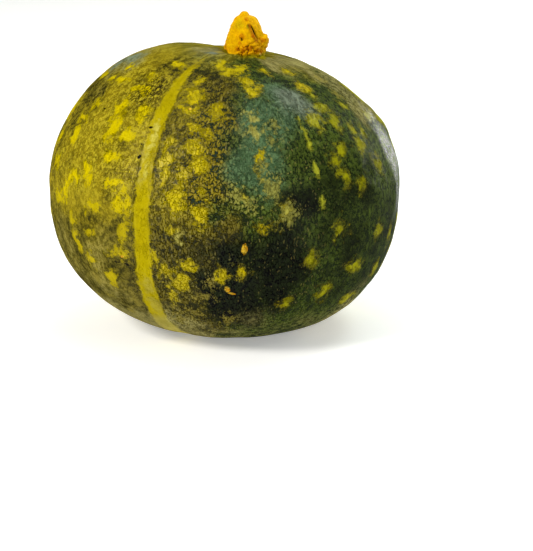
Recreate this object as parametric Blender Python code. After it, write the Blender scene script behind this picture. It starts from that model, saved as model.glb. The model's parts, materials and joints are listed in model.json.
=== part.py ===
# Kabocha squash, picked whole, with the corky stub of its stem.
# Two bodies: the fruit, which grew as one piece, and the stem seated in the dip on its top.
# Metres, +Z up. Azimuth is in degrees about +Z from +X, and latitude in degrees up from the
# fruit's widest ring, so latitude 90 is the stem end and -90 is the blossom end.

import math

import bmesh
import bpy
from mathutils import Vector

MM = 0.001

# Fruit: a squat, slightly lopsided ball.
FRUIT_RADIUS = 82.5 * MM
TOP_HEIGHT = 64.3 * MM  # widest ring up to the stem end
BOTTOM_HEIGHT = 71.2 * MM  # widest ring down to the blossom end
TOP_ROUNDNESS = 1.9  # 2 is an ellipse, more is squarer
BOTTOM_ROUNDNESS = 2.45
TOP_DRIFT = Vector((9.3, 4.6, 0)) * MM  # how far the stem end sits off the middle
BOTTOM_DRIFT = Vector((4.6, 0, 0)) * MM
SHOULDER_LEAN = 5.5 * MM  # the -X shoulder stands this much higher, the +X one lower
REST_DEPTH = 0.8 * MM  # how much the underside is flattened where it rests

# Dips round the two ends: depth and radius.
STEM_DIP = (4.3 * MM, 26.8 * MM)
BLOSSOM_DIP = (4.0 * MM, 16.0 * MM)

# Shallow furrows from stem to blossom end, under the pale stripes.
FURROW_AZIMUTHS = (-155, -116, -57, -14, 31, 74, 118, 161)
FURROW_DEPTH = 1.6 * MM
FURROW_WIDTH = 10.0
FURROW_BEND = -7.0  # a furrow turns this far in azimuth on its way to either end

# Local swellings and hollows: azimuth, latitude, azimuth spread, latitude spread, height.
LUMPS = (
    (-158, 57, 40, 24, 5.0 * MM),
    (-4, 30, 18, 7, 1.5 * MM),
    (-121, -32, 16, 8, -1.2 * MM),
    (62, 40, 30, 20, 1.6 * MM),
    (105, -20, 26, 22, -1.2 * MM),
)

# Stem: a blunt dome with weak ridges.
STEM_RADIUS = 9.4 * MM
STEM_HEIGHT = 19.6 * MM
STEM_RIDGES = 5
STEM_RIDGE_HEIGHT = 0.5 * MM
STEM_NUB = (1.2 * MM, 13.0)  # height of the torn nub on the tip, and its spread in degrees
STEM_GAP = 0.4 * MM

FRUIT_GRID = (80, 44)  # columns and rings
STEM_GRID = (32, 20)


def turn_between(azimuth, other):
    """The turn from other to azimuth, from -180 to 180 degrees."""
    return (azimuth - other + 180) % 360 - 180


def bell(offset, spread):
    """1 at no offset, falling smoothly to 0 beyond about twice the spread."""
    return math.exp(-((offset / spread) ** 2))


def furrow_profile(azimuth, latitude):
    """Radius change that the furrows make, with the ribs between them a little proud."""
    bend = FURROW_BEND * math.sin(math.radians(latitude)) ** 2
    depth = sum(bell(turn_between(azimuth, a + bend), FURROW_WIDTH) for a in FURROW_AZIMUTHS)
    mean_depth = math.sqrt(math.pi) * FURROW_WIDTH * len(FURROW_AZIMUTHS) / 360
    towards_stem = max(math.sin(math.radians(latitude)), 0)
    return -FURROW_DEPTH * (depth - mean_depth) * (0.75 + 0.6 * towards_stem)


def lump_height(azimuth, latitude):
    """Height of the local swellings and hollows here."""
    return sum(
        height * bell(turn_between(azimuth, a), a_spread) * bell(latitude - lat, lat_spread)
        for a, lat, a_spread, lat_spread, height in LUMPS
    )


def fruit_point(azimuth, latitude):
    """A point of the skin, measured from the middle of the widest ring."""
    turn, tilt = math.radians(azimuth), math.radians(latitude)
    out = max(math.cos(tilt), 0.0)
    up, down = max(math.sin(tilt), 0.0), max(-math.sin(tilt), 0.0)
    roundness = TOP_ROUNDNESS if up else BOTTOM_ROUNDNESS
    lump = lump_height(azimuth, latitude)
    radius = (FRUIT_RADIUS + furrow_profile(azimuth, latitude) + lump) * out ** (2 / roundness)
    point = Vector((radius * math.cos(turn), radius * math.sin(turn), 0))
    point += TOP_DRIFT * up**2 + BOTTOM_DRIFT * down**2
    point.z = TOP_HEIGHT * up ** (2 / roundness) - BOTTOM_HEIGHT * down ** (2 / roundness)
    point.z += lump * (up - down) - 2 * out * up * SHOULDER_LEAN * math.cos(turn)
    if up:
        point.z -= STEM_DIP[0] * bell(radius, STEM_DIP[1])
    else:
        point.z += BLOSSOM_DIP[0] * bell(radius, BLOSSOM_DIP[1])
    return point


def stem_point(azimuth, latitude):
    """A point of the stem. Below latitude 0 it is the foot, which follows the skin under it."""
    turn = math.radians(azimuth)
    out = max(math.cos(math.radians(latitude)), 0.0)
    up = max(math.sin(math.radians(latitude)), 0.0)
    ridge = STEM_RIDGE_HEIGHT * math.cos(STEM_RIDGES * turn) * (1 - up)
    radius = (STEM_RADIUS + ridge) * out
    seat = fruit_point(azimuth, math.degrees(math.acos(radius / FRUIT_RADIUS)))
    height = STEM_HEIGHT * up + STEM_NUB[0] * bell(90 - latitude, STEM_NUB[1])
    middle = fruit_point(0, 90)
    x, y = radius * math.cos(turn), radius * math.sin(turn)
    # The foot's slope fades out on the way up, so the tip stands level.
    level = seat.z * (1 - up) + middle.z * up
    return Vector((middle.x + x, middle.y + y, level + STEM_GAP + height))


def shaped_ball(name, grid, place):
    """An object whose surface is a UV sphere with every vertex put where place says."""
    form = bmesh.new()
    bmesh.ops.create_uvsphere(form, u_segments=grid[0], v_segments=grid[1], radius=1)
    for vertex in form.verts:
        azimuth = math.degrees(math.atan2(vertex.co.y, vertex.co.x))
        latitude = math.degrees(math.asin(max(-1.0, min(1.0, vertex.co.z))))
        vertex.co = place(azimuth, latitude)
    mesh = bpy.data.meshes.new(name)
    form.to_mesh(mesh)
    form.free()
    mesh.shade_smooth()
    return bpy.data.objects.new(name, mesh)


def plain_material(name, colour, roughness):
    """A Principled BSDF of one colour, with no metal in it."""
    material = bpy.data.materials.new(name)
    material.use_nodes = True
    shader = material.node_tree.nodes["Principled BSDF"]
    shader.inputs["Base Color"].default_value = (*colour, 1)
    shader.inputs["Roughness"].default_value = roughness
    shader.inputs["Metallic"].default_value = 0
    return material


def make_fruit():
    fruit = shaped_ball("fruit", FRUIT_GRID, fruit_point)
    ground = min(vertex.co.z for vertex in fruit.data.vertices) + REST_DEPTH
    for vertex in fruit.data.vertices:
        vertex.co.z = max(vertex.co.z, ground)
    fruit.data.materials.append(plain_material("squash_rind", (0.12, 0.13, 0.02), 0.42))
    return fruit


def make_stem():
    stem = shaped_ball("stem", STEM_GRID, stem_point)
    stem.data.materials.append(plain_material("corky_stem", (0.67, 0.37, 0.01), 0.8))
    return stem


def stand_on_origin(pieces):
    """Moves the meshes so that their common box stands on Z 0, centred over the origin."""
    points = [vertex.co for piece in pieces for vertex in piece.data.vertices]
    low = Vector(min(point[axis] for point in points) for axis in range(3))
    high = Vector(max(point[axis] for point in points) for axis in range(3))
    shift = Vector((-(low.x + high.x) / 2, -(low.y + high.y) / 2, -low.z))
    for piece in pieces:
        for vertex in piece.data.vertices:
            vertex.co += shift


def main():
    for old in list(bpy.data.objects):
        bpy.data.objects.remove(old)
    squash = bpy.data.collections.new("kabocha_squash")
    bpy.context.scene.collection.children.link(squash)
    pieces = (make_fruit(), make_stem())
    stand_on_origin(pieces)
    for piece in pieces:
        squash.objects.link(piece)


main()
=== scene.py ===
# Kabocha squash: the grown skin and the corky stem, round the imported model.
# Shapes are worked out in millimetres, and closedSkin turns them into metres. Azimuth is in degrees
# about +Z from +X, so -90 faces the camera. Latitude is in degrees up from the fruit's widest ring.
import json
import math

import bpy
import numpy as np
from mathutils import Euler, Matrix, Vector

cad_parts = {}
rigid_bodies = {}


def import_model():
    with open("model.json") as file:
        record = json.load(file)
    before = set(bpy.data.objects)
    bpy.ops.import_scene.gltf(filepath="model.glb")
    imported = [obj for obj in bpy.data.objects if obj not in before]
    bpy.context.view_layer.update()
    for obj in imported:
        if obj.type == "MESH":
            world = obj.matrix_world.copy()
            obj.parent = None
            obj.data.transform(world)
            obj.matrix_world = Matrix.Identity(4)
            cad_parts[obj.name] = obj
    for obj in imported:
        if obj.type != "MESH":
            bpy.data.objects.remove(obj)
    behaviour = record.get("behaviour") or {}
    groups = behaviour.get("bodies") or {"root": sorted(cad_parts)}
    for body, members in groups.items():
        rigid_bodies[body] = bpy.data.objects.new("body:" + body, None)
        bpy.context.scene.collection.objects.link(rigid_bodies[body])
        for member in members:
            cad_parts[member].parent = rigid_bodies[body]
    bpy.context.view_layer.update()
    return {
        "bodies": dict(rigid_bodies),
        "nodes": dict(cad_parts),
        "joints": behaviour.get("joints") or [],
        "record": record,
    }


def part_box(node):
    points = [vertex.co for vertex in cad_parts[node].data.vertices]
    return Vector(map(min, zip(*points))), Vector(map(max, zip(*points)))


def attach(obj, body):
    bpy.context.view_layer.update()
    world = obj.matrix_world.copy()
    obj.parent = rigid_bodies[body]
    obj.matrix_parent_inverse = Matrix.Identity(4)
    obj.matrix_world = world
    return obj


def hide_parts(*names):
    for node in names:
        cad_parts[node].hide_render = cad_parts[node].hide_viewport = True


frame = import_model()
mm = 0.001


def bell(offset, spread):
    # exp(-(offset / spread) ^ 2): 1 at no offset, next to nothing beyond twice the spread.
    return np.exp(-(offset / spread) ** 2)


def turnBetween(azimuth, other):
    # The turn from other to azimuth, brought into -180 to 180 degrees.
    return (azimuth - other + 180) % 360 - 180


def smoothStep(low, high, value):
    # t * t * (3 - 2t), where t is how far value is from low to high, held between 0 and 1.
    t = np.clip((value - low) / (high - low), 0, 1)
    return t * t * (3 - 2 * t)


def gradientNoise(points, size, seed):
    # Each corner of a lattice of that size has a random direction, picked by a shuffled table.
    # A point's value is the sum over its cell's 8 corners of direction . offset, times a fade
    # t^3 (6t^2 - 15t + 10) on each axis. It runs from about -1 to 1.
    random = np.random.default_rng(seed)
    shuffled = random.permutation(256)
    directions = random.normal(size=(256, 3))
    directions /= np.linalg.norm(directions, axis=1, keepdims=True)
    place = points / size
    corner = np.floor(place).astype(int)
    offset = place - corner
    fade = offset ** 3 * (offset * (6 * offset - 15) + 10)
    total = np.zeros(points.shape[:-1])
    for step in np.ndindex(2, 2, 2):
        x, y, z = np.moveaxis(corner + step, -1, 0)
        direction = directions[shuffled[(shuffled[(shuffled[x & 255] + y) & 255] + z) & 255]]
        weight = np.prod(np.where(step, fade, 1 - fade), axis=-1)
        total += weight * np.sum(direction * (offset - step), axis=-1)
    return 1.6 * total


def surfaceNormals(points):
    # The cross product of the steps along the columns, which wrap round, and up the rings, at
    # unit length.
    alongColumns = np.roll(points, -1, axis=1) - np.roll(points, 1, axis=1)
    upRings = np.gradient(points, axis=0)
    normals = np.cross(alongColumns, upRings)
    return normals / np.linalg.norm(normals, axis=-1, keepdims=True)


def closedSkin(name, points, attributes):
    # A mesh from rings of points in mm, lowest first: four-sided faces between the rings, and a
    # fan to one point at the middle of each end ring, which takes the mean of its ring's values.
    rings, columns = points.shape[:2]
    corners = np.arange(rings * columns).reshape(rings, columns)
    following = np.roll(corners, -1, axis=1)
    quads = np.stack([corners[:-1], following[:-1], following[1:], corners[1:]], axis=-1)
    low, high = rings * columns, rings * columns + 1
    lowFan = np.stack([following[0], corners[0], np.full(columns, low)], axis=-1)
    highFan = np.stack([corners[-1], following[-1], np.full(columns, high)], axis=-1)
    loops = np.concatenate([quads.ravel(), lowFan.ravel(), highFan.ravel()])
    sides = np.concatenate([np.full(quads.size // 4, 4), np.full(2 * columns, 3)])

    def withEnds(values):
        ends = np.stack([values[0].mean(axis=0), values[-1].mean(axis=0)])
        return np.concatenate([values.reshape(-1, *values.shape[2:]), ends]).astype(np.float32)

    mesh = bpy.data.meshes.new(name)
    mesh.vertices.add(rings * columns + 2)
    mesh.vertices.foreach_set("co", withEnds(points * mm).ravel())
    mesh.loops.add(len(loops))
    mesh.loops.foreach_set("vertex_index", loops.astype(np.int32))
    mesh.polygons.add(len(sides))
    mesh.polygons.foreach_set("loop_start", (np.cumsum(sides) - sides).astype(np.int32))
    mesh.update(calc_edges=True)
    mesh.validate()
    mesh.shade_smooth()
    for key, values in attributes.items():
        isVector = values.ndim == 3
        made = mesh.attributes.new(key, "FLOAT_VECTOR" if isVector else "FLOAT", "POINT")
        made.data.foreach_set("vector" if isVector else "value", withEnds(values).ravel())
    piece = bpy.data.objects.new(name, mesh)
    bpy.context.scene.collection.objects.link(piece)
    return piece


class Finish:
    # The nodes of a new material or world. Each method adds a node and returns its output.
    def __init__(self, owner):
        owner.use_nodes = True
        self.owner = owner
        self.nodes = owner.node_tree.nodes
        self.place = self.add("TexCoord", {}, output="Object")

    def put(self, socket, value):
        if isinstance(value, bpy.types.NodeSocket):
            self.owner.node_tree.links.new(value, socket)
        else:
            socket.default_value = value

    def surface(self, values):
        for key, value in values.items():
            self.put(self.nodes["Principled BSDF"].inputs[key], value)
        return self.owner

    def add(self, kind, inputs, output=0, **settings):
        node = self.nodes.new("ShaderNode" + kind)
        for key, value in settings.items():
            setattr(node, key, value)
        for key, value in inputs.items():
            self.put(node.inputs[key], value)
        return node.outputs[output]

    def attribute(self, name, output="Fac"):
        return self.add("Attribute", {}, output=output, attribute_name=name)

    def noise(self, sizeMm, detail=2.0, roughness=0.5, distortion=0.0, place=None):
        # Noise whose largest grain is about sizeMm across.
        return self.add("TexNoise", {
            "Vector": place or self.place, "Scale": 1000 / sizeMm, "Detail": detail,
            "Roughness": roughness, "Distortion": distortion})

    def cells(self, sizeMm, feature="F1", place=None):
        # Distance in cell sizes to the nearest cell's point, or to its border.
        return self.add("TexVoronoi", {"Vector": place or self.place, "Scale": 1000 / sizeMm},
                        output="Distance", feature=feature)

    def oval(self, middle, turned, halfSizes):
        # How far out a point lies in an oval: 0 in its middle and 1 on its edge. Lengths in mm.
        inside = self.add("Mapping", {
            "Vector": self.place, "Location": Vector(middle) * mm, "Rotation": turned,
            "Scale": Vector(halfSizes) * mm}, vector_type="TEXTURE")
        return self.add("VectorMath", {0: inside}, output="Value", operation="LENGTH")

    def maths(self, operation, first, second=0.0, third=0.0):
        return self.add("Math", {0: first, 1: second, 2: third}, operation=operation)

    def plus(self, first, second):
        return self.maths("ADD", first, second)

    def scaled(self, value, gain, added):
        # value * gain + added
        return self.maths("MULTIPLY_ADD", value, gain, added)

    def times(self, first, *others):
        for other in others:
            first = self.maths("MULTIPLY", first, other)
        return first

    def swing(self, noise, width):
        # A noise that ran from 0 to 1 runs from -width / 2 to width / 2.
        return self.scaled(noise, width, -width / 2)

    def step(self, low, high, value, lowest=0.0, highest=1.0):
        # Goes smoothly from lowest to highest while value goes from low to high.
        return self.add("MapRange", {
            "Value": value, "From Min": low, "From Max": high, "To Min": lowest,
            "To Max": highest}, interpolation_type="SMOOTHSTEP")

    def mix(self, share, first, second):
        return self.add("Mix", {0: share, 6: first, 7: second}, output=2, data_type="RGBA")

    def over(self, share, tones, codes):
        # The low and the high tone, each with its colour from codes laid over it.
        return [self.mix(share, tone, hexColour(code)) for tone, code in zip(tones, codes)]

    def blend(self, share, first, second):
        return self.add("Mix", {0: share, 2: first, 3: second})

    def bump(self, height, heightMm, below=None):
        under = {"Normal": below} if below else {}
        return self.add("Bump", {"Height": height, "Distance": heightMm * mm, "Strength": 1.0, **under})


def hexColour(code):
    # A colour code such as c8b400 as the light that it stands for: each part v is v / 12.92 below
    # 0.04045 and ((v + 0.055) / 1.055) ^ 2.4 above.
    parts = [int(code[k:k + 2], 16) / 255 for k in (0, 2, 4)]
    return (*[v / 12.92 if v <= 0.04045 else ((v + 0.055) / 1.055) ** 2.4 for v in parts], 1.0)


def tonesOf(codes):
    return [hexColour(code) for code in codes]


fruitForm = {
    "columns": 480,
    "rings": 205,
    "radius": 82.5,
    "topHeight": 64.3,    # widest ring up to the stem end
    "bottomHeight": 71.2,    # widest ring down to the blossom end
    "topRoundness": 1.9,    # 2 is an ellipse, more is squarer
    "bottomRoundness": 2.45,
    "topDrift": (9.3, 4.6),    # how far the stem end sits off the middle
    "bottomDrift": (4.6, 0.0),
    "shoulderLean": 5.5,    # the -X shoulder is this much higher, the +X one lower
    "stemDip": (4.3, 26.8),    # depth and radius
    "blossomDip": (4.0, 16.0),
    "restDepth": 0.8,    # how much the underside is flattened where it rests
    "furrowAzimuths": (-155, -116, -57, -14, 31, 74, 118, 161),
    "furrowDepth": 1.6,
    "furrowWidth": 10.0,
    "furrowBend": -7.0,
    # azimuth, latitude, spread of each in degrees, height
    "swellings": ((-158, 57, 40, 24, 5.0), (-4, 30, 18, 7, 1.5), (-121, -32, 16, 8, -1.2),
                  (62, 40, 30, 20, 1.6), (105, -20, 26, 22, -1.2)),
}


def fruitSurface(azimuth, latitude):
    # A point of the bare form, from the middle of the widest ring. The profile is a squarish
    # ellipse, out = cos^(2/n), up = sin^(2/n), with its own n above and below. Furrows, swellings,
    # dips and drift of the ends and the shoulders' lean are added to it.
    form = fruitForm
    turn, tilt = np.radians(azimuth), np.radians(latitude)
    out = np.maximum(np.cos(tilt), 0)
    up, down = np.maximum(np.sin(tilt), 0), np.maximum(-np.sin(tilt), 0)
    roundness = np.where(up > 0, form["topRoundness"], form["bottomRoundness"])
    bend = form["furrowBend"] * np.sin(tilt) ** 2
    depth = sum(bell(turnBetween(azimuth, a + bend), form["furrowWidth"])
                for a in form["furrowAzimuths"])
    meanDepth = math.sqrt(math.pi) * form["furrowWidth"] * len(form["furrowAzimuths"]) / 360
    furrow = -form["furrowDepth"] * (depth - meanDepth) * (0.75 + 0.6 * up)
    swelling = sum(height * bell(turnBetween(azimuth, a), aSpread) * bell(latitude - b, bSpread)
                   for a, b, aSpread, bSpread, height in form["swellings"])
    radius = (form["radius"] + furrow + swelling) * out ** (2 / roundness)
    x = radius * np.cos(turn) + form["topDrift"][0] * up ** 2 + form["bottomDrift"][0] * down ** 2
    y = radius * np.sin(turn) + form["topDrift"][1] * up ** 2 + form["bottomDrift"][1] * down ** 2
    z = form["topHeight"] * up ** (2 / roundness) - form["bottomHeight"] * down ** (2 / roundness)
    z = z + swelling * (up - down) - 2 * out * up * form["shoulderLean"] * np.cos(turn)
    topDepth, topWidth = form["stemDip"]
    lowDepth, lowWidth = form["blossomDip"]
    z = z - np.where(up > 0, topDepth * bell(radius, topWidth), -lowDepth * bell(radius, lowWidth))
    return np.stack([x, y, z], axis=-1)


def evenLatitudes(count):
    # Latitudes of rings the same distance apart along the profile, both ends left out: the length
    # along a fine run of latitudes is added up, and read back at even steps.
    fine = np.linspace(-90, 90, 4001)
    steps = np.linalg.norm(np.diff(fruitSurface(-90.0, fine), axis=0), axis=1)
    length = np.concatenate([[0], np.cumsum(steps)])
    return np.interp(np.linspace(0, length[-1], count + 2)[1:-1], length, fine)


def middleOf(form, node):
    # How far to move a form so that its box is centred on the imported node's from side to side,
    # and stands as low.
    low, high = (np.array(corner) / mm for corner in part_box(node))
    middle = (low + high - form.min(axis=(0, 1)) - form.max(axis=(0, 1))) / 2
    middle[2] = low[2] - form[..., 2].min() - fruitForm["restDepth"]
    return middle


columnAzimuth = np.arange(fruitForm["columns"]) * 360 / fruitForm["columns"] - 180
latitude, azimuth = np.meshgrid(evenLatitudes(fruitForm["rings"]), columnAzimuth, indexing="ij")
bareFruit = fruitSurface(azimuth, latitude)
fruitMiddle = middleOf(bareFruit, "fruit")
print("fruit form:", fruitForm["columns"], "columns and", fruitForm["rings"], "rings, its middle at",
      np.round(fruitMiddle, 2), "mm")


fruitMarks = {
    # Pale stripes along the furrows: azimuth, width in mm, and the latitudes between which each
    # piece of it shows.
    "stripes": (
        (-116.5, 7.6, ((-84, 68),)),
        (-58.5, 2.0, ((29, 42), (17, 24), (3, 9))),
        (31, 4.6, ((-72, -12), (-4, 30))),
        (74, 6.5, ((-80, 74),)),
        (118, 3.6, ((-30, 22), (30, 52))),
        (161, 5.2, ((-76, -8), (2, 36), (44, 70))),
    ),
    # A stripe turns by these many degrees times sin(latitude)^2, above and below the widest ring.
    "stripeBend": (-6.8, -9.2),
    "stripeUneven": ((13, 0.14, 52), (5, 0.12, 53)),    # size, share of the width, seed of the noise
    # latitudes, and the share of its width that a stripe has there
    "stripeProfile": ((-84, -72, -60, -40, -20, 0, 20, 34, 50, 58, 66),
                      (0.1, 0.7, 1.4, 1.25, 1.22, 1.12, 1.0, 0.96, 0.7, 0.46, 0.0)),
    # Lobes that stand out from a stripe, and then the blotches: azimuth, latitude, width and
    # height in mm.
    "stripeBits": ((-112.0, -11.4, 3.6, 7.5), (-113.2, -8.4, 5, 3.2), (-119.6, 35, 5, 8),
                   (-113, -1.5, 2, 4), (-120.2, -16, 2.5, 6), (-113.4, 6, 2, 3)),
    "blotches": (
        # round the stem and down the front
        (-107.5, 66.5, 6.5, 11), (-97.5, 62.5, 6, 12), (-91.4, 66.2, 6.5, 10), (-71, 66.8, 4, 6.5),
        (-48, 65.7, 5, 5.5), (-48.5, 56.5, 6, 8.5), (-48.3, 51.8, 4, 4), (-47.2, 45.7, 7, 6),
        (-54, 40, 6, 9), (-43.2, 39.6, 5, 8), (-87, 57.5, 5, 6), (-83.5, 54, 7, 6), (-79.5, 55, 5, 4),
        (-84, 58, 4, 4), (-111.5, 53.5, 3.5, 6), (-109.5, 47.5, 9, 10), (-110.5, 41.5, 8.5, 5.5),
        (-97.2, 42.7, 7.5, 11), (-104.4, 35.2, 7, 6.5), (-98.5, 34, 5, 5), (-102, 28, 9.5, 8.5),
        (-99.3, 21.5, 8.5, 9.5), (-103.9, 16.8, 6.5, 9), (-110.8, 22, 6.5, 10), (-110.2, 16.5, 4, 8),
        (-112.2, 28, 2.8, 8), (-105.5, 8, 8.5, 12), (-106.5, 10, 3, 6), (-98.2, 14, 3, 4.5),
        (-95.5, 9.8, 3.5, 4), (-97.8, 3, 6.5, 10), (-98.3, -0.5, 6, 4), (-106.2, -1.7, 3, 4),
        (-109, -15, 5.5, 4.5), (-110.5, -17.5, 3, 4), (-102.4, -12.5, 6, 5.5), (-104.3, -19.8, 8.5, 9),
        (-77.4, -1.3, 5, 3), (-91.2, -16, 3.2, 5), (-85, -15.5, 3.2, 4.2),
        (-12.8, 36.8, 7, 6), (-35.5, 35, 5, 6), (-30, 32, 5, 6), (-29.5, 45, 5, 4),
        (-47, 27, 6, 6), (-51, 23, 7, 7), (-37, 27, 6, 7), (-29, 18, 5, 7), (-49, 16, 5, 6),
        (-62, -12, 6, 7), (-52, -4, 5, 7), (-44, -18, 7, 6), (-55, -28, 6, 8), (-33, -8, 6, 6),
        (-28, -24, 7, 8), (-20, -12, 5, 7), (-40, -36, 8, 7), (-70, -30, 5, 5),
        (-42, 11, 5, 6), (-72, 4.6, 5, 6.5), (-80, 24.3, 2.6, 7), (-84.6, 10.5, 3, 3),
        (-70.5, 5, 3, 4), (-109.5, -24.6, 3.5, 8),
        # the olive side
        (-136, 51, 5, 6), (-130.5, 58.5, 6.5, 6), (-137.5, 36.5, 7.5, 9), (-138, 45, 6, 6),
        (-132, 45.5, 7, 7), (-127.2, 37, 8, 9), (-150, 46.5, 6, 5), (-155, 51, 5, 4),
        (-159.5, 45, 5, 4), (-153.3, 35.7, 7, 5), (-157, 29.8, 8, 5), (-157.4, 22.5, 7, 10),
        (-164.7, 12.5, 9, 5), (-148.5, 10, 12, 6), (-152.3, 4.5, 6, 10), (-157.5, 0.5, 10, 5),
        (-140.8, 13.7, 5.4, 9), (-138.5, 11, 4, 5), (-135.3, 30, 5.5, 14), (-127.8, 28, 8.5, 7),
        (-131.2, 20.6, 6.5, 6.5), (-128, 11, 9, 5), (-124.5, 12, 5, 6), (-125, 4, 6, 9),
        (-121.8, 5, 3, 9), (-123, -3, 5, 10), (-126, -10.5, 9, 5), (-135, 0.2, 8, 4),
        (-137.4, -6, 6, 5), (-147.5, -3.4, 6, 6), (-146.6, -9.4, 6, 8), (-145.5, -12.5, 5, 5),
        (-139, -16, 4.5, 5.5), (-130.8, -21.3, 7, 7), (-170, 20, 7, 6), (-172, 44, 7, 6),
    ),
    "paleBlotches": (
        (-82.8, 42.2, 6.5, 6), (-81.8, 36, 7, 7), (-73.7, 38.2, 5, 5), (-75, 32.5, 4, 5),
        (-78, 21.5, 4, 8), (-75.8, 13.5, 9, 9), (-71, 4.2, 7, 8), (-86, 11, 7, 7), (-83.5, 8, 8, 7),
        (-119, 72, 4, 14), (-114, 70, 3, 12), (-127, 66, 4, 9),
    ),
    # Cream patches; those on the main stripe between latitudes 19 and 33, where the key light gleams, are
    # a painted highlight in part.
    "creamAndHighlightBlotches": ((-119, 33, 2.4, 5), (-118, 27, 3.0, 9), (-117, 19, 2.4, 5), (-104, -4, 3, 4),
                      (-82.5, 41.5, 4.5, 5), (-81.5, 35.5, 5, 5.5)),
    "wornBlotches": ((-117.4, -24, 5, 12), (-118.4, -34, 8, 14), (-120, -46, 10, 14),
                     (-117.4, 14, 2.4, 5)),
    "dullBlotches": (
        (-141.2, -23.2, 8, 9), (-151.6, -23, 10, 5), (-139, -32, 12, 5), (-109, -26.3, 4.5, 10),
        (-99, -26, 6, 4), (-90.5, -40.5, 4, 5), (-103.5, -35.5, 8, 6), (-110.5, -41, 5, 8),
        (-127, -33, 7, 10), (-133, -40, 8, 9), (-161.7, 38.5, 7, 5), (-36, 68, 9, 5), (-22, 60, 8, 6),
        (-24, 50, 7, 7), (-150, -35, 9, 6), (-94.7, -18.8, 4, 3),
    ),
    "hiddenBlotches": 105,    # as many more, at random, on the sides away from the camera
    "hiddenSeed": 14,
    "thickness": 12,    # how far in mm an oval reaches through the skin, to stay on its side
    "skinPerDegree": 1.28,    # mm of skin for one degree of latitude
    "farAway": -12.0,    # the depth in mm of a point that no mark is near
    "wander": ((8, 1.8), (3.6, 1.5)),   # how the outlines are pulled about: size and reach in mm
    # Small scars: azimuth, latitude, width and height in mm, turn in degrees, and 1 for a pale
    # corky one or 0 for a black one.
    "scars": (
        (-84.3, -6.8, 2.4, 4.4, -10, 1), (-90.0, -22.0, 2.2, 3.2, 15, 1), (-88.6, -23.9, 3.4, 1.0, -15, 1),
        (-88.4, -22.3, 1.5, 2.2, 10, 0), (-108.5, 42, 1.6, 1.4, 0, 1), (-124.5, -11.8, 1.5, 1.3, 0, 1),
        (-127, -14.2, 3.6, 0.6, 6, 0), (-123.2, -14.6, 2.6, 0.9, -14, 0), (-120.8, 32.7, 1.8, 1.1, 15, 0),
        (-120.8, 22, 1.3, 2.0, -30, 0), (-121.6, 26.4, 0.6, 1.0, 10, 0), (-95, -27, 1.0, 1.6, -35, 0),
        (-146, 35, 1.2, 0.8, 0, 0),
        (40, 8, 3.2, 2.1, 20, 1), (95, -12, 8.0, 0.9, -30, 0), (130, 24, 1.8, 2.6, 0, 1),
    ),
}


def frameAt(markAzimuth, markLatitude):
    # The bare form's point there, with unit directions east and north along its skin.
    centre = fruitSurface(markAzimuth, markLatitude)
    east = fruitSurface(markAzimuth + 0.5, markLatitude) - centre
    north = fruitSurface(markAzimuth, markLatitude + 0.5) - centre
    return centre, east / np.linalg.norm(east), north / np.linalg.norm(north)


def blotchDepth(points, blotches):
    # How deep in mm each point lies inside the nearest blotch, less than 0 outside it: the greatest
    # of (1 - oval) * smaller half size, where oval is 1 on an ellipse of its width and height.
    depth = np.full(points.shape[:-1], fruitMarks["farAway"])
    for markAzimuth, markLatitude, width, height in blotches:
        centre, east, north = frameAt(markAzimuth, markLatitude)
        away = points - centre
        across, along = away @ east / (width / 2), away @ north / (height / 2)
        through = away @ np.cross(east, north) / fruitMarks["thickness"]
        oval = np.sqrt(across ** 2 + along ** 2 + through ** 2)
        depth = np.maximum(depth, (1 - oval) * min(width, height) / 2)
    return depth


def stripeDepth(points, azimuth, latitude):
    # How deep in mm each point lies inside the nearest stripe: half the width less the distance
    # to the centre line, or to the line's end beyond it. The line is its azimuth + bend * sin^2,
    # and the width is its profile times two noises.
    bend = np.where(latitude > 0, *fruitMarks["stripeBend"]) * np.sin(np.radians(latitude)) ** 2
    slimmer = np.interp(latitude, *fruitMarks["stripeProfile"])
    slimmer = slimmer * (1 + sum(share * gradientNoise(points, size, seed)
                                 for size, share, seed in fruitMarks["stripeUneven"]))
    girth = np.hypot(points[..., 0], points[..., 1])
    depth = np.full(latitude.shape, fruitMarks["farAway"])
    for stripeAzimuth, width, stretches in fruitMarks["stripes"]:
        across = np.radians(turnBetween(azimuth, stripeAzimuth + bend)) * girth
        for low, high in stretches:
            beyond = np.maximum(np.maximum(low - latitude, latitude - high), 0)
            beyond = beyond * fruitMarks["skinPerDegree"]
            depth = np.maximum(depth, width * slimmer / 2 - np.hypot(across, beyond))
    return depth


def hiddenBlotches():
    # Blotches 5 to 11 mm wide, spread evenly over the sides that the camera doesn't see.
    random = np.random.default_rng(fruitMarks["hiddenSeed"])
    count = fruitMarks["hiddenBlotches"]
    markAzimuth = random.uniform(-12, 188, count)
    markLatitude = np.degrees(np.arcsin(random.uniform(-0.8, 0.9, count)))
    width = random.uniform(5, 11, count)
    height = width * random.uniform(0.8, 1.4, count)
    return np.stack([markAzimuth, markLatitude, width, height], axis=-1)


def pulledAbout(points, pulls, seed):
    # Each pull moves every point by up to its reach, by three noises of its size.
    moved = points.copy()
    for size, reach in pulls:
        moved += reach * np.stack([gradientNoise(points, size, seed + k) for k in range(3)], -1)
        seed += 3
    return moved


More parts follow.
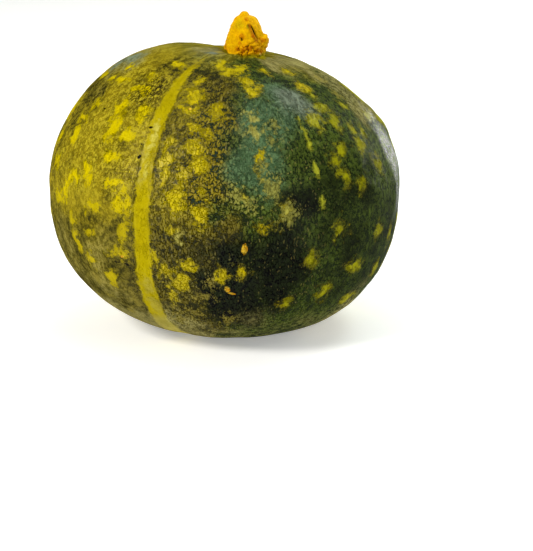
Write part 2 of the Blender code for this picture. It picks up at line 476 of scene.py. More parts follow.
lobed = pulledAbout(bareFruit, fruitMarks["wander"], 31)
slow = [gradientNoise(bareFruit, 16, seed) for seed in (32, 42)]
blotch = blotchDepth(lobed, np.concatenate([fruitMarks["blotches"], hiddenBlotches()]))
otherBlotches = {kind: blotchDepth(lobed, fruitMarks[kind + "es"])
                 for kind in ("paleBlotch", "dullBlotch", "creamAndHighlightBlotch", "wornBlotch")}
stripe = np.maximum(stripeDepth(bareFruit, azimuth + 0.5 * slow[0], latitude),
                    blotchDepth(lobed, fruitMarks["stripeBits"]))
print("marks:", len(fruitMarks["stripes"]), "stripes,",
      len(fruitMarks["blotches"]) + len(fruitMarks["paleBlotches"]), "placed blotches and",
      fruitMarks["hiddenBlotches"], "scattered ones")


skinZones = {
    # Where each kind of skin shows: share, azimuths and then latitudes that it lies between, and
    # how soft its edge is in degrees. Where rows overlap, the strongest counts.
    "olive": ((1.0, -186, -119, -6, 58, 11), (1.0, 128, 160, -20, 44, 12),
              (0.9, -196, -134, 48, 82, 9), (0.34, -186, -122, -36, 0, 12),
              (0.34, -116, -104, -4, 52, 6)),
    "oliveByStripe": ((0.38, -116, -99, -2, 54, 6),),
    "moss": ((1.0, -196, -92, -58, 64, 9), (1.0, 58, 112, -50, 60, 12), (1.0, -100, -84, -30, 4, 7)),
    "net": ((1.0, -105, -91, 6, 48, 7), (1.0, 24, 52, -4, 44, 12)),
    # Blue-green skin, which in front, right of middle, is also a painted reflection of soft light.
    "tealAndReflection": ((1.0, -90, -73, 11, 50, 9), (1.0, -73, -63, 34, 58, 8), (0.8, 4, 20, -20, 50, 12)),
    # Near-black green skin; low on the front, right of middle, its darkness is painted shadow in part.
    "shade": ((1.0, -84, -64, -40, -2, 9), (0.85, -74, -58, -4, 14, 7), (0.5, -66, -30, -6, 22, 9),
              (1.0, -97, -79, -48, -5, 6), (0.5, -66, 10, -46, 4, 14),
              (0.45, -110, -92, -44, -6, 8)),
    # On the right side, away from the key light, dim gives marks their painted-shade copies; elsewhere it
    # only makes them fainter.
    "dim": ((1.0, -74, 10, -60, 60, 9), (0.8, -190, -98, -60, 0, 6), (0.12, -116, -90, 0, 60, 8)),
    # Painted sheen: grey-green patches where the skin would gleam, high on the front right of middle,
    # along the upper left rim and beside the stem.
    "paintedSheen": ((0.95, -70, -50, 43, 52, 6), (0.65, -173, -155, 47, 60, 6),
              (0.85, -128, -120, 71, 76, 3)),
    # Dull yellow-grey skin; the rows at the top right also stand for a painted sheen along that rim.
    "khakiAndSheen": ((1.0, -64, 24, 66, 82, 6), (0.7, -26, 14, 34, 68, 7), (0.6, -148, -128, 70, 79, 5),
              (0.3, -190, -124, -54, -8, 12)),
    # In these, the rows are added up.
    "crackle": ((0.9, -136, -121, 40, 54, 6), (0.6, -123, -120, 24, 44, 3), (0.7, 52, 68, 30, 42, 5)),
    "wax": ((0.12, -122, -84, -30, 54, 12), (0.08, -126, -98, 10, 44, 8),
            (0.15, -74, -52, 40, 56, 9), (0.75, -15, -7, -8, 42, 4), (0.6, -140, -116, 68, 86, 8),
            (0.1, -75, -62, -10, 22, 6)),
    "granules": ((0.3, -116, -58, -46, 60, 10), (0.4, -140, -122, 38, 58, 7),
                 (-0.4, -190, -119, -60, 4, 9)),
    "wrinkled": ((1.0, -75, -57, 16, 44, 7), (1.0, -30, -10, -10, 50, 9)),
    # In these, each row takes its share away from the zone.
    "oliveGaps": ((0.4, -188, -159, -8, 46, 7), (0.7, -178, -158, 30, 46, 6)),
    "crownGaps": ((0.9, -100, -62, 50, 78, 6),),
    "khakiGaps": ((0.7, -104, -40, -90, -20, 8),),
    "waxGaps": ((0.9, -215, -130, -70, 58, 10),),
    # latitudes between which a band round an end begins
    "seatBand": (77.5, 80.5),
    "crownBand": (54, 76),
    "dimBand": (56, 62),
    "smoothBand": (50, 62),
    "khakiBand": (-30, -56),
    "oliveClouds": (11, 0.4),    # size in mm, and the most that they take away
    "leastWax": 0.1,
    "leastGranules": 0.42,
}

# latitude as the skin's height has it, without the bunching just under the widest ring
level = np.where(latitude > 0, latitude, np.degrees(np.arcsin(np.clip(
    bareFruit[..., 2] / fruitForm["bottomHeight"], -1, 0))))


def patch(azimuthLow, azimuthHigh, latitudeLow, latitudeHigh, soft):
    # 1 inside those azimuths and latitudes and 0 outside: the product of two smooth steps, each
    # soft degrees wide either way. Two slow noises make its outline wander.
    middle, half = (azimuthLow + azimuthHigh) / 2, (azimuthHigh - azimuthLow) / 2
    across = np.abs(turnBetween(azimuth + 6 * slow[0], middle)) - half
    along = level + 6 * slow[1] - (latitudeLow + latitudeHigh) / 2
    along = np.abs(along) - (latitudeHigh - latitudeLow) / 2
    return smoothStep(soft, -soft, across) * smoothStep(soft, -soft, along)


def patchesOf(zone):
    # Each row's patch times its share.
    return [share * patch(*edges) for share, *edges in skinZones[zone]]


def strongest(zone):
    return np.maximum.reduce(patchesOf(zone))


def without(zone):
    # The product of 1 - patch, over the rows.
    return np.prod([1 - taken for taken in patchesOf(zone)], axis=0)


def band(zone, height):
    return smoothStep(*skinZones[zone], height)


cloudSize, cloudShare = skinZones["oliveClouds"]
clouds = smoothStep(0.05, 0.7, gradientNoise(bareFruit, cloudSize, 57))
olive = strongest("olive") * (1 - cloudShare * clouds) * without("oliveGaps")
olive = np.maximum(olive, strongest("oliveByStripe"))
moss, net, tealAndReflection, shade, paintedSheen = (strongest(zone)
                                 for zone in ("moss", "net", "tealAndReflection", "shade", "paintedSheen"))
crackle = np.clip(sum(patchesOf("crackle")), 0, 1) * smoothStep(0.3, -0.8, stripe)
dim = np.maximum(strongest("dim"), 0.5 * band("dimBand", latitude))
seat = band("seatBand", latitude + 4 * gradientNoise(bareFruit, 5, 43))
crown = band("crownBand", latitude + 5 * slow[0]) * without("crownGaps")
khakiAndSheen = band("khakiBand", level + 8 * slow[0]) * without("khakiGaps")
khakiAndSheen = np.maximum(khakiAndSheen, strongest("khakiAndSheen"))
wax = sum(patchesOf("wax"), skinZones["leastWax"]) * without("waxGaps")
wax = np.clip(wax * smoothStep(3, -1, stripe), 0.02, 1)
granules = sum(patchesOf("granules"), skinZones["leastGranules"]) + 0.5 * net
granules = granules - 0.2 * olive - 0.25 * tealAndReflection - 0.3 * band("smoothBand", latitude)
granules = np.clip(granules, 0, 1)
wrinkled = np.clip(sum(patchesOf("wrinkled")), 0, 1)
print("zones of the skin done")


fruitRelief = {
    # size and height in mm of the unevenness that covers the whole skin
    "uneven": ((34, 0.35), (13, 0.2), (6, 0.1)),
    "pimples": (2.9, 0.16),
    "wrinkles": (4.0, 0.35),
    "stripeProud": -0.12,
    "blotchProud": 0.10,
    "wart": 0.9,    # how proud the first scar stands
    "stemFolds": (10, 0.5),    # folds round the stem: how many, and mm high
    "seatHollow": (-130, 48, 1.1),    # by the stem: azimuth about it, spread, depth
    "notch": (-3, 38, 4.0, 0.7),    # on the right shoulder: azimuth, latitude, size, height
}


def skinRelief():
    # Height in mm to add to the bare form along its normal: noises, wrinkles along the growth, a
    # step at the marks, one wart, folds like a cosine round the stem, a hollow beside it, and a
    # notch on the shoulder.
    relief = fruitRelief
    height = sum(high * gradientNoise(bareFruit, size, 60 + size)
                 for size, high in relief["uneven"])
    size, high = relief["pimples"]
    height += high * gradientNoise(bareFruit, size, 77) * (0.3 + net)
    size, high = relief["wrinkles"]
    height += high * gradientNoise(growth / mm, size, 88) * wrinkled
    height += relief["stripeProud"] * smoothStep(-0.8, 0.8, stripe)
    height += relief["blotchProud"] * smoothStep(-0.8, 1.2, blotch)
    wart = blotchDepth(bareFruit, [fruitMarks["scars"][0][:4]])
    height += relief["wart"] * smoothStep(-1.0, 1.2, wart)
    folds, high = relief["stemFolds"]
    height += high * np.cos(np.radians(folds * azimuth)) * smoothStep(66, 84, latitude)
    fromStem = bareFruit[..., :2] - fruitForm["topDrift"]
    about = np.degrees(np.arctan2(fromStem[..., 1], fromStem[..., 0]))
    hollowAzimuth, spread, deep = relief["seatHollow"]
    height -= deep * bell(turnBetween(about, hollowAzimuth), spread) * smoothStep(
        17, 10, np.hypot(fromStem[..., 0], fromStem[..., 1])) * smoothStep(0, 60, latitude)
    notchAzimuth, notchLatitude, size, high = relief["notch"]
    away = bareFruit - fruitSurface(notchAzimuth, notchLatitude)
    height += high * bell(away[..., 2], size / 2) * bell(away[..., 1], 3 * size) * smoothStep(
        0, 40, bareFruit[..., 0])
    return height


# Coordinates that follow the growth, for streaks: round the girth, and slowly up the side.
turn = np.radians(azimuth)
growth = fruitForm["radius"] * mm * np.stack([np.cos(turn), np.sin(turn),
                                              0.5 * np.radians(latitude)], axis=-1)

fruitPoints = bareFruit + surfaceNormals(bareFruit) * skinRelief()[..., None] + fruitMiddle
fruitPoints[..., 2] = np.maximum(fruitPoints[..., 2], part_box("fruit")[0].z / mm)

fruit = closedSkin("fruit_skin", fruitPoints, {
    **otherBlotches, "blotch": blotch, "stripe": stripe, "olive": olive, "tealAndReflection": tealAndReflection, "moss": moss,
    "shade": shade, "net": net, "crown": crown, "seat": seat, "paintedSheen": paintedSheen, "khakiAndSheen": khakiAndSheen,
    "wax": wax, "crackle": crackle, "dim": dim, "granules": granules, "wrinkled": wrinkled,
    "growth": growth})
print("fruit skin:", len(fruit.data.vertices), "points")


rindFinish = {
    # the two tones that the fine pattern goes between, in each zone and mark
    "green": ("202c10", "5c6e26"),
    "moss": ("2e2e10", "7a6e1e"),
    # blue-green, in front partly a painted reflection
    "tealAndReflection": ("48643f", "66865a"),
    # near-black, partly painted shadow
    "shade": ("010201", "1e260e"),
    "olive": ("867610", "c4b228"),
    # its low tone, in the valleys between granules, is partly painted shade
    "net": ("2c3c28", "9e8c1a"),
    "crown": ("66600e", "b2a432"),
    "seat": ("7c760c", "b8aa0c"),
    # painted sheen, as grey-green tones
    "paintedSheen": ("66745c", "88967c"),
    # dull yellow-grey, and at the top right a painted sheen
    "khakiAndSheen": ("78723c", "bab066"),
    "halo": ("665e0c", "94881c"),    # outskirts of a blotch
    "blotch": ("a29000", "ccb800"),
    "paleBlotch": ("5e6228", "aca84a"),
    "dullBlotch": ("6c6224", "a89a3c"),
    # cream, on the stripe a painted highlight in part
    "creamAndHighlightBlotch": ("b0a42c", "d0c860"),
    "wornBlotch": ("6e641e", "a0963e"),
    "stripe": ("7e7000", "aa9a04"),
    "speckAndGlint": "b4a656",    # dry tips of granules in part, painted glints in part
    "crevice": "14120a",
    # painted shade: darker, greener copies of those two marks on the right side, away from the key light
    "shadedCopies": {"blotch": ("868200", "b0ac00"), "stripe": ("7c7e10", "aeae2c")},
    "corkyScar": ("dc9c00", "f4cc3c"),
    # each pattern's size in mm
    "sizes": {"broad": 12, "streaks": 6.0, "ragged": 3.6, "wrinkles": 2.6, "mottle": 2.4,
              "pull": 2.2, "granule": 1.55, "speckAndGlint": 1.2, "grain": 0.7},
    "latticePull": 2.1,    # how far in mm the granules' lattice is pulled about
    "raggedness": (14.5, -7.3),    # the noise on a mark's depth: times one, plus the other
    # heights in mm: granule, wrinkles, mottle, and for the skin grain and scars as well
    "coatBumps": (0.7, 1.2, 0.5),
    "skinBumps": (1.5, 1.0, 1.6, 0.25, 0.3),
    # each mark in turn: where its depth comes from, whether granules stand out in it, the depths
    # between which it comes in, and its greatest share
    "marks": (("dullBlotch", "dullBlotch", "granular", -2.5, 2.0, 0.8),
              ("halo", "blotch", "ragged", -2.6, 0.2, 0.4),
              ("blotch", "blotch", "ragged", -1.0, 1.1, 0.97),
              ("paleBlotch", "paleBlotch", "granular", -2.2, 2.2, 0.85),
              ("stripe", "stripe", "stripeEdge", -0.6, 0.7, 0.95),
              ("creamAndHighlightBlotch", "creamAndHighlightBlotch", "ragged", -1.5, 2.2, 0.65),
              ("wornBlotch", "wornBlotch", "ragged", -1.5, 2.5, 0.6)),
    "roughness": (0.34, 0.52),
    "coat": 0.7,    # the share of clear coat where the skin is waxy
}


def frameTurn(markAzimuth, markLatitude, roll):
    # The turn that lays X east and Y north along the skin there, rolled about its normal.
    centre, east, north = frameAt(markAzimuth, markLatitude)
    outward = np.cross(east, north)
    frame = Matrix((east, np.cross(outward, east), outward)).transposed()
    return centre + fruitMiddle, (frame @ Matrix.Rotation(math.radians(roll), 3, "Z")).to_euler()


def scarsOf(finish, pale, edge):
    # Where the small scars of one kind are: the least of their ovals, turned into 1 inside.
    least = None
    for markAzimuth, markLatitude, width, height, roll, isPale in fruitMarks["scars"]:
        if isPale != pale:
            continue
        middle, turned = frameTurn(markAzimuth, markLatitude, roll)
        oval = finish.oval(middle, turned, (width / 2, height / 2, 3.0))
        least = oval if least is None else finish.maths("MINIMUM", least, oval)
    return finish.step(1.25, 0.85, finish.plus(least, edge))


def granulePattern(finish, growth, mottle):
    # Cells of a slightly pulled lattice, a random share of them raised, and pale dots on a finer
    # one, which are dry tips in part and painted glints in part. It gives the distance to a cell's
    # border, plain and mottled, and the two masks.
    sizes = rindFinish["sizes"]
    pull = finish.add("TexNoise", {"Vector": finish.place, "Scale": 1000 / sizes["pull"],
                                   "Detail": 2.0}, output="Color")
    lattice = finish.add("VectorMath", {0: growth, 1: (1.0, 1.0, 1.15)}, operation="MULTIPLY")
    lattice = finish.add("VectorMath", {0: pull, 1: (rindFinish["latticePull"] * mm,) * 3,
                                        2: lattice}, operation="MULTIPLY_ADD")
    border = finish.cells(sizes["granule"], "DISTANCE_TO_EDGE", place=lattice)
    chance = finish.add("TexVoronoi", {"Vector": lattice, "Scale": 1000 / sizes["granule"]},
                        output="Color")
    chance = finish.add("SeparateColor", {0: chance})
    granules = finish.attribute("granules")
    raised = finish.step(-0.12, 0.12, finish.maths("SUBTRACT", granules, chance))
    merged = finish.plus(border, finish.swing(mottle, 1.0))
    granule = finish.times(finish.step(0.0, 0.17, merged), raised)
    speckAndGlint = finish.cells(sizes["speckAndGlint"], place=lattice)
    luck = finish.add("SeparateColor", {0: speckAndGlint.node.outputs["Color"]})
    speckAndGlint = finish.times(finish.step(0.42, 0.18, speckAndGlint), finish.step(0.30, 0.22, luck),
                         finish.step(0.35, 0.75, granules))
    return border, merged, granule, speckAndGlint


def zoneTones(finish, zones, clouds):
    # The zones laid over the green in turn. A zone's edge, where its share is about a half, is
    # broken up by the clouds.
    tones = tonesOf(rindFinish["green"])
    for key, share in zones.items():
        inside = finish.times(finish.maths("PINGPONG", share, 0.5), 2.0)
        share = finish.step(0.0, 1.0, finish.scaled(clouds, inside, share))
        tones = finish.over(share, tones, rindFinish[key])
    return tones


def markTones(finish, tones, khakiAndSheen, granule, grain):
    # The marks laid over the zones in turn. A mark's edge is where its depth in mm, with some
    # noise added, passes 0. cores is 1 inside them all.
    ragged = finish.noise(rindFinish["sizes"]["ragged"], 6.0, 0.7)
    ragged = finish.scaled(ragged, *rindFinish["raggedness"])
    ragged = finish.plus(ragged, finish.swing(grain, 2.4))
    noises = {"ragged": ragged, "stripeEdge": finish.times(ragged, 0.65),
              "granular": finish.scaled(granule, 3.0, finish.plus(ragged, -1.4))}
    dim = finish.attribute("dim")
    # Where dim is near 1, on the right side, blotches and stripes take their painted-shade copies.
    dark = finish.step(0.82, 1.0, dim)
    fading = {"stripe": finish.step(0.3, 1.0, khakiAndSheen, 1.0, 0.4),
              "blotch": finish.scaled(dim, -0.3, 1.0)}
    cores = None
    for key, place, noise, low, high, most in rindFinish["marks"]:
        depth = finish.plus(finish.attribute(place), noises[noise])
        share = finish.step(low, high, depth, 0.0, most)
        if key in fading:
            share = finish.times(share, fading[key])
        core = finish.step(-0.9, 0.8, depth)
        cores = core if cores is None else finish.maths("MAXIMUM", cores, core)
        colours = tonesOf(rindFinish[key])
        if key in rindFinish["shadedCopies"]:
            colours = finish.over(dark, colours, rindFinish["shadedCopies"][key])
        tones = [finish.mix(share, tone, colour) for tone, colour in zip(tones, colours)]
    return tones, cores


def bumpedSkin(finish, granule, mottle, grain, wrinkles, smooth):
    # Bumps one over the other: a stack for the clear coat, and more over it for the skin. Stripes,
    # blotches and the olive side are smoother.
    smoother = finish.times(
        finish.step(-1.0, 1.0, finish.attribute("stripe"), 1.0, 0.25),
        finish.step(-0.5, 1.5, finish.attribute("blotch"), 1.0, 0.55),
        finish.step(0.2, 1.0, finish.attribute("olive"), 1.0, 0.8))
    granule = finish.times(granule, finish.times(smoother, smoother))
    layers = (granule, wrinkles, finish.times(mottle, smoother), grain, smooth)
    normal = None
    stacks = []
    for heights in (rindFinish["coatBumps"], rindFinish["skinBumps"]):
        for layer, high in zip(layers, heights):
            normal = finish.bump(layer, high, below=normal)
        stacks.append(normal)
    return stacks


def rindMaterial():
    # Every zone and mark of the skin has a low and a high tone. One fine pattern, made of
    # mottling, granules and grain, goes between the two.
    finish = Finish(bpy.data.materials.new("rind"))
    sizes = rindFinish["sizes"]
    growth = finish.attribute("growth", "Vector")
    zones = {key: finish.attribute(key) for key in (
        "moss", "olive", "tealAndReflection", "shade", "net", "crown", "khakiAndSheen", "paintedSheen", "seat")}
    broad = finish.noise(sizes["broad"], 3.0, 0.55)
    mottle = finish.noise(sizes["mottle"], 6.0, 0.74)
    grain = finish.noise(sizes["grain"], 3.0, 0.6)
    streaks = finish.noise(sizes["streaks"], 4.0, 0.6, 0.3, place=growth)
    border, merged, granule, speckAndGlint = granulePattern(finish, growth, mottle)
    clouds = finish.plus(finish.swing(broad, 1.8), finish.swing(mottle, 1.6))
    tones = zoneTones(finish, zones, clouds)
    tones, cores = markTones(finish, tones, zones["khakiAndSheen"], granule, grain)

    # the fine pattern: mottling, streaks near the stem, and granules over them
    mottled = finish.plus(mottle, finish.swing(grain, 0.5))
    mottled = finish.step(0.40, 0.60, finish.blend(zones["crown"], mottled, streaks))
    netted = finish.step(0.1, 0.6, zones["net"])
    tone = finish.times(mottled, finish.blend(netted, 0.8, 0.4))
    tone = finish.scaled(granule, 0.7, tone)
    # Painted shade: in the netted zone the tone is darker near the cells' borders, in the valleys between
    # granules.
    tone = finish.scaled(finish.step(0.12, 0.0, merged), finish.times(netted, -0.3), tone)
    tone = finish.plus(tone, finish.swing(broad, 0.9))
    coreTone = finish.step(0.36, 0.56, streaks, 0.45, 0.75)
    coreTone = finish.scaled(mottled, 0.3, coreTone)
    tone = finish.blend(cores, tone, coreTone)
    calm = finish.step(0.25, 0.02, finish.attribute("granules"), 0.0, 0.5)
    tone = finish.step(0.0, 1.0, finish.blend(calm, tone, 0.45))
    skin = finish.mix(tone, *tones)
    # Pale dots on the granules, which are painted glints in part.
    speckAndGlint = finish.times(speckAndGlint, finish.scaled(cores, -0.5, 0.55),
                         finish.scaled(zones["shade"], -0.6, 1.0))
    skin = finish.mix(speckAndGlint, skin, hexColour(rindFinish["speckAndGlint"]))

    # black crevices between granules, and the small scars
    crackled = finish.plus(finish.attribute("crackle"), clouds)
    crevice = finish.plus(border, finish.swing(mottle, 0.8))
    crevice = finish.times(finish.step(0.14, 0.02, crevice),
                           finish.step(0.35, 0.75, crackled, 0.0, 0.85))
    fray = finish.swing(grain, 1.2)
    cracked = finish.maths("MAXIMUM", crevice, scarsOf(finish, 0, fray))
    skin = finish.mix(cracked, skin, hexColour(rindFinish["crevice"]))
    cork = finish.mix(tone, *tonesOf(rindFinish["corkyScar"]))
    skin = finish.mix(scarsOf(finish, 1, fray), skin, cork)

    wrinkles = finish.times(finish.noise(sizes["wrinkles"], 2.0, 0.5, 0.4, place=growth),
                            finish.attribute("wrinkled"))
    coatNormal, skinNormal = bumpedSkin(finish, granule, mottle, grain, wrinkles,
                                        finish.maths("SUBTRACT", 1.0, cracked))
    return finish.surface({
        "Base Color": skin, "Specular IOR Level": 0.0, "Coat Roughness": 0.2,
        "Roughness": finish.step(0.3, 0.7, grain, *rindFinish["roughness"]),
        "Coat Weight": finish.times(finish.attribute("wax"), rindFinish["coat"]),
        "Normal": skinNormal, "Coat Normal": coatNormal})


fruit.data.materials.append(rindMaterial())
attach(fruit, "root")
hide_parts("fruit")
print("rind finish done")


stemForm = {
    "columns": 360,
    "rings": 210,
    "axis": 9.6,    # its middle along X in mm, above the fruit's stem end
    "seat": 127.6,    # height of its foot
    # the outline: height over the seat, and reach towards -X and towards +X
    "outline": ((-2.5, 9.9, 9.6), (-1.0, 9.0, 8.9), (0.6, 9.1, 8.8), (2.4, 9.6, 9.1), (4.6, 9.7, 9.5),
                (7.0, 8.8, 9.1), (9.8, 8.2, 8.5), (12.0, 7.3, 7.8), (14.2, 6.4, 7.0), (16.4, 5.4, 5.9),
                (17.6, 4.4, 4.8), (18.2, 3.3, 3.5), (18.6, 2.5, 2.3), (19.3, 2.1, 2.0),
                (20.0, 1.5, 1.5), (20.35, 0.8, 0.8), (20.45, 0.0, 0.0)),
    "ridges": (5, 0.30),    # how many, and how high
    "cork": ((3.4, 0.42), (1.5, 0.20), (0.7, 0.10)),    # size and height of its unevenness
    "crevice": (3.2, 0.7),    # size of the lumps in the crust, and depth between them
    # lobes of the foot: azimuth, spread in degrees, reach
    "lobes": ((-143, 20, 2.4), (-118, 16, 1.0), (-50, 16, 1.1), (-92, 12, 0.6), (20, 25, 0.6),
              (90, 30, 0.8), (165, 20, 0.9)),
    # the split: azimuth and height of its upper and lower end, width and depth
    "split": ((-63, 14.6), (-44, 7.8), 0.95, 1.3),
    # pits: azimuth, height, radius, depth
    "pits": ((-101, 8.3, 0.9, 0.7), (-66, 4.4, 0.8, 0.4), (60, 9.0, 0.8, 0.7), (140, 12.0, 0.7, 0.5)),
    # orange-brown stains: azimuth, height, radius
    "stains": ((-155, 4.6, 1.3), (-143, 2.6, 1.0), (-112, 4.2, 1.3), (-95, 3.4, 1.1), (-73, 4.6, 1.2),
               (-53, 3.2, 1.3), (-64, 10.2, 1.1), (-35, 2.2, 1.4), (-68, 14.2, 0.9), (-30, 7.4, 1.3),
               (-99, 9.6, 1.6), (-108, 6.6, 1.0), (-80, 17.4, 1.0), (30, 5.0, 1.8), (100, 4.0, 2.0),
               (160, 7.0, 1.6)),
    # the torn flake: azimuth, height of its tip, its spread in degrees, and reach
    "flake": (-12, 10.1, 13, 1.9),
    # the crust: height of its edge, how much higher it is towards an azimuth, that azimuth, and
    # how much its edge wanders. A place about another azimuth, that far either way, has none.
    "crust": (6.4, 2.2, 10, 1.6),
    "crustGap": (-148, 28),
    "bruise": (-9, 10, (5.5, 8), (16.5, 14.5)),    # azimuth from the split, spread, heights
    # green places: share, azimuth and its spread, height and its spread
    "greens": ((1.0, -76, 9, 14.2, 1.1), (0.5, -116, 40, 15, 3.6)),
}


def stemOutline():
    # The outline is carried round the axis: the reach goes from the -X one to the +X one with the
    # cosine of the azimuth. It gives each point's azimuth, height, reach, and turn to +X, 0 to 1.
    form = stemForm
    height, left, right = (np.array(values) for values in zip(*form["outline"]))
    length = np.concatenate([[0], np.cumsum(np.hypot(np.diff(height), np.diff(left)))])
    along = np.linspace(0, length[-1], form["rings"] + 1)[:-1]
    angle = np.arange(form["columns"]) * 360 / form["columns"] - 180
    place, around = np.meshgrid(along, angle, indexing="ij")
    east = (1 + np.cos(np.radians(around))) / 2
    reach = np.interp(place, length, left) * (1 - east) + np.interp(place, length, right) * east
    return around, np.interp(place, length, height), reach, east


around, rise, reach, east = stemOutline()
outward = np.stack([np.cos(np.radians(around)), np.sin(np.radians(around)), 0 * around], axis=-1)
upward = np.array([0, 0, 1.0])
bareStem = outward * reach[..., None] + upward * rise[..., None]


def distanceTo(markAzimuth, markRise):
    # In mm along the stem's skin.
    return np.hypot(np.radians(turnBetween(around, markAzimuth)) * reach, rise - markRise)


def stemCrust():
    # The crust covers the lower part, on the front right and round the back. Its crevices are
    # where a noise of lumps passes 0.
    edge, higher, towards, wander = stemForm["crust"]
    edge = edge + higher * np.cos(np.radians(around - towards))
    edge = edge + wander * gradientNoise(bareStem, 5, 210)
    gapAzimuth, gapWidth = stemForm["crustGap"]
    gap = np.abs(turnBetween(around, gapAzimuth)) - gapWidth
    crust = smoothStep(0.9, -0.9, rise - edge) * smoothStep(0, 14, gap)
    size = stemForm["crevice"][0]
    warped = pulledAbout(bareStem, ((3.0, 1.4), (1.2, 0.5)), 220)
    lumps = gradientNoise(warped, size, 211) + 0.35 * gradientNoise(warped, size / 2, 212)
    crevice = bell(lumps, 0.09) * crust * smoothStep(-0.3, 0.3, gradientNoise(bareStem, 4, 217))
    return crust, lumps, crevice


def stemSplit():
    # A line from its upper to its lower end, widest halfway. It also gives the line's azimuth.
    (topAzimuth, topRise), (lowAzimuth, lowRise), width = stemForm["split"][:3]
    down = np.clip((topRise - rise) / (topRise - lowRise), 0, 1)
    middle = topAzimuth + (lowAzimuth - topAzimuth) * down
    across = np.radians(turnBetween(around, middle)) * reach
    across = across + 0.35 * gradientNoise(bareStem, 2.2, 213)
    beyond = np.maximum(np.maximum(rise - topRise, lowRise - rise), 0)
    wide = width * np.sqrt(np.clip(4 * down * (1 - down), 0.05, 1))
    return smoothStep(1.0, 0.2, np.hypot(across, beyond) / wide), middle


def stemFlake():
    # Proud between its foot and its tip, and cut off along a ragged edge that falls to the sides.
    flakeAzimuth, tip, spread, _ = stemForm["flake"]
    aside = turnBetween(around, flakeAzimuth)
    edge = tip - 1.5 * np.abs(aside / spread) + 0.6 * gradientNoise(bareStem, 1.3, 215)
    flake = smoothStep(2.6, 7.2, rise) * smoothStep(0.5, -0.3, rise - edge)
    return flake * bell(aside, 1.3 * spread)


def stemSurface():
    # Ridges like a cosine, three noises, the crust with its crevices, the split, the pits, the
    # lobes of the foot and the flake are added to the reach. It also gives what the finish needs.
    form = stemForm
    full = smoothStep(0, 4, reach)
    count, high = form["ridges"]
    relief = high * np.cos(np.radians(count * around + 20)) * full
    relief = relief + sum(high * gradientNoise(bareStem, size, 200 + k)
                          for k, (size, high) in enumerate(form["cork"]))
    crust, lumps, crevice = stemCrust()
    relief = relief - form["crevice"][1] * crevice + 0.9 * crust * np.abs(lumps)
    split, splitAzimuth = stemSplit()
    relief = relief - form["split"][3] * split

    pit, stain = np.zeros_like(reach), np.zeros_like(reach)
    wander = 0.6 * gradientNoise(bareStem, 1.1, 214)
    for pitAzimuth, pitRise, radius, deep in form["pits"]:
        hole = smoothStep(1.5, 0.2, (distanceTo(pitAzimuth, pitRise) + wander) / radius)
        relief = relief - deep * hole
        pit = np.maximum(pit, hole)
    wander = 0.5 * gradientNoise(bareStem, 1.4, 216)
    for stainAzimuth, stainRise, radius in form["stains"]:
        stain = np.maximum(stain, bell(distanceTo(stainAzimuth, stainRise) + wander, radius))

    foot = smoothStep(5.0, 0.5, rise)
    for lobeAzimuth, spread, high in form["lobes"]:
        relief = relief + high * bell(turnBetween(around, lobeAzimuth), spread) * foot
    relief = relief + form["flake"][3] * stemFlake()
    points = bareStem + outward * (relief * full)[..., None]
    points = points + upward * (0.25 * relief * (1 - full))[..., None]
    points = points + np.array([form["axis"], (fruitMiddle + fruitSurface(0.0, 90.0))[1],
                                form["seat"]])

    turned, spread, lowEnd, highEnd = form["bruise"]
    bruise = bell(turnBetween(around, splitAzimuth + turned), spread)
    bruise = bruise * smoothStep(*lowEnd, rise) * smoothStep(*highEnd, rise)
    green = np.maximum.reduce([
        share * bell(turnBetween(around, greenAzimuth), wide) * bell(rise - greenRise, high)
        for share, greenAzimuth, wide, greenRise, high in form["greens"]])
    return points, {"crust": crust, "crevice": crevice, "split": split, "pit": pit, "stain": stain,
                    "bruise": bruise, "green": green, "foot": smoothStep(2.6, 0.2, rise),
                    "east": east}


stemPoints, stemMarks = stemSurface()
stem = closedSkin("stem_cork", stemPoints, stemMarks)

stemFinish = {
    "yellow": ("d89e00", "ecba00"),    # low and high tone
    "orange": ("c47c00", "e6a000"),    # in the crust
    "paintedLight": ("dca400", "fcc400"),    # painted light: brighter on the +X side, away from the light, to make up for its shade
    "green": ("7c7c08", "b8b000"),
    "foot": ("8c8410", "c0ac08"),
    "bruise": ("7a2c04", "b0640c"),
    "crevice": ("6a3000", "a85c00"),
    "stain": ("9c4c00", "d07c00"),
    "pit": ("4a3000", "7c5400"),
    "split": ("0c0e04", "242a0c"),
    # the greatest share of each place that the crust's noise frays
    "frayed": {"green": 0.9, "foot": 0.85, "bruise": 0.7, "stain": 0.75, "pit": 0.5, "crevice": 0.9},
    "sizes": (3.6, 1.4, 0.35),    # of the patches, the crust and the grain, in mm
    "bumps": (0.5, 0.12),    # heights in mm of the crust and the grain
    "roughness": (0.5, 0.75),
}


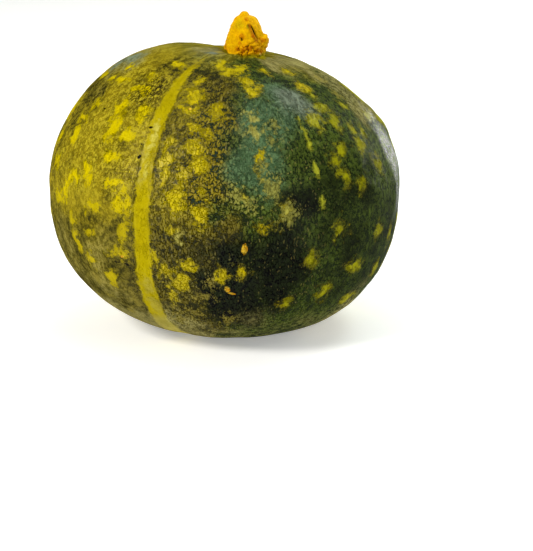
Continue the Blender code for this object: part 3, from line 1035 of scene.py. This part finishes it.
def stemMaterial():
    # Yellow flesh and orange crust, each with a low and a high tone that grain goes between, and
    # the other places laid over them in turn.
    finish = Finish(bpy.data.materials.new("corkyStem"))
    place = {key: finish.attribute(key) for key in ("crust", "east", "split", "pit")}
    patchSize, crustSize, grainSize = stemFinish["sizes"]
    patchy = finish.noise(patchSize, 4.0, 0.62)
    crust = finish.noise(crustSize, 5.0, 0.7)
    grain = finish.noise(grainSize, 3.0, 0.6)
    # The +X side's brighter tone is painted light, for the side away from the light.
    shares = {"orange": finish.scaled(place["crust"], 0.45, finish.step(0.52, 0.72, patchy, 0.0, 0.7)),
              "paintedLight": finish.step(0.62, 1.0, place["east"], 0.0, 0.65)}
    for key, most in stemFinish["frayed"].items():
        share = finish.plus(finish.attribute(key), finish.swing(crust, 0.5))
        shares[key] = finish.step(0.15, 0.8, share, 0.0, most)
    shares["split"] = finish.maths("MAXIMUM", finish.step(0.3, 0.8, place["split"]),
                                   finish.step(0.5, 1.0, place["pit"], 0.0, 0.8))
    tones = tonesOf(stemFinish["yellow"])
    for key, share in shares.items():
        tones = finish.over(share, tones, stemFinish[key])
    fine = finish.plus(crust, finish.swing(grain, 0.5))
    crustBump, grainBump = stemFinish["bumps"]
    return finish.surface({
        "Base Color": finish.mix(finish.step(0.36, 0.62, fine), *tones),
        "Roughness": finish.step(0.3, 0.7, grain, *stemFinish["roughness"]),
        "Specular IOR Level": 0.03,
        "Normal": finish.bump(grain, grainBump, below=finish.bump(crust, crustBump))})


stem.data.materials.append(stemMaterial())
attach(stem, "root")
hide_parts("stem")
print("stem done:", len(stem.data.vertices), "points")


studio = {
    "floorSize": 8.0,
    "floorColour": (0.93, 0.93, 0.93, 1.0),
    "floorGlow": 0.34,    # keeps the paper white away from the lamps
    "skyInFront": (0.14, 0.145, 0.15, 1.0),    # on the camera's side, so the greens stay deep
    "skyBehind": (0.57, 0.57, 0.50, 1.0),
    "skyForCamera": (1.0, 1.0, 1.0, 1.0),
    # place, width and height, watts, colour
    "lights": {
        "key": ((-1.10, -0.90, 1.05), (0.5, 0.5), 26.0, (1.0, 0.97, 0.92)),
        "top": ((0.3, 0.2, 1.5), (1.2, 1.2), 5.0, (1.0, 1.0, 1.0)),
        "coolPanel": ((0.70, 0.62, 1.05), (0.5, 0.5), 6.5, (0.90, 1.0, 0.94)),
        "fill": ((1.0, -0.80, 0.75), (0.9, 0.9), 5.0, (1.0, 1.0, 1.0)),
        "backStrip": ((0.75, 1.0, 0.12), (0.16, 0.5), 7.5, (1.0, 1.0, 0.9)),
    },
    "cameraDistance": 0.9,
    "cameraElevation": 12.55,
    "lens": 123.8,
    # the turn from the fruit's middle to the picture's, in degrees to the right and downwards
    "aimRight": 1.28,
    "aimDown": 2.89,
}


def makeFloor():
    half = studio["floorSize"] / 2
    mesh = bpy.data.meshes.new("floor")
    mesh.from_pydata([(-half, -half, 0), (half, -half, 0), (half, half, 0), (-half, half, 0)], [],
                     [(0, 1, 2, 3)])
    floor = bpy.data.objects.new("floor", mesh)
    bpy.context.scene.collection.objects.link(floor)
    finish = Finish(bpy.data.materials.new("floorPaint"))
    mesh.materials.append(finish.surface({
        "Base Color": studio["floorColour"], "Roughness": 0.9, "Specular IOR Level": 0.1,
        "Emission Color": studio["floorColour"], "Emission Strength": studio["floorGlow"]}))


def makeSky():
    # The sky that lights the scene goes from dim in front, -Y, to bright behind, +Y. The camera
    # itself sees an even pale one.
    sky = Finish(bpy.data.worlds.new("studioSky"))
    direction = sky.add("TexCoord", {}, output="Generated")
    behind = sky.step(-0.3, 0.8, sky.add("SeparateXYZ", {0: direction}, output="Y"))
    lighting = sky.mix(behind, studio["skyInFront"], studio["skyBehind"])
    mixed = sky.add("MixShader", {
        0: sky.add("LightPath", {}, output="Is Camera Ray"),
        1: sky.add("Background", {"Color": lighting}),
        2: sky.add("Background", {"Color": studio["skyForCamera"]})})
    sky.put(sky.nodes["World Output"].inputs["Surface"], mixed)
    bpy.context.scene.world = sky.owner


def makeLights():
    target = Vector(fruitMiddle * mm)
    for name, (place, size, watts, colour) in studio["lights"].items():
        lamp = bpy.data.lights.new(name, "AREA")
        lamp.shape = "RECTANGLE"
        lamp.size, lamp.size_y = size
        lamp.energy = watts
        lamp.color = colour
        holder = bpy.data.objects.new(name, lamp)
        holder.location = place
        holder.rotation_euler = (target - Vector(place)).to_track_quat("-Z", "Y").to_euler()
        holder.visible_camera = False
        bpy.context.scene.collection.objects.link(holder)


def makeCamera():
    # It is turned a little to the right and down from the fruit's middle, so that the fruit sits
    # up and to the left of the picture's middle.
    tilt = math.radians(studio["cameraElevation"])
    lens = bpy.data.cameras.new("camera")
    lens.lens = studio["lens"]
    camera = bpy.data.objects.new("camera", lens)
    away = Vector((0, -math.cos(tilt), math.sin(tilt))) * studio["cameraDistance"]
    camera.location = Vector(fruitMiddle * mm) + away
    camera.rotation_euler = Euler((math.radians(90 - studio["aimDown"]) - tilt, 0,
                                   -math.radians(studio["aimRight"])))
    bpy.context.scene.collection.objects.link(camera)
    bpy.context.scene.camera = camera


makeFloor()
makeSky()
makeLights()
makeCamera()
bpy.context.scene.view_settings.view_transform = "Standard"
print("studio done")
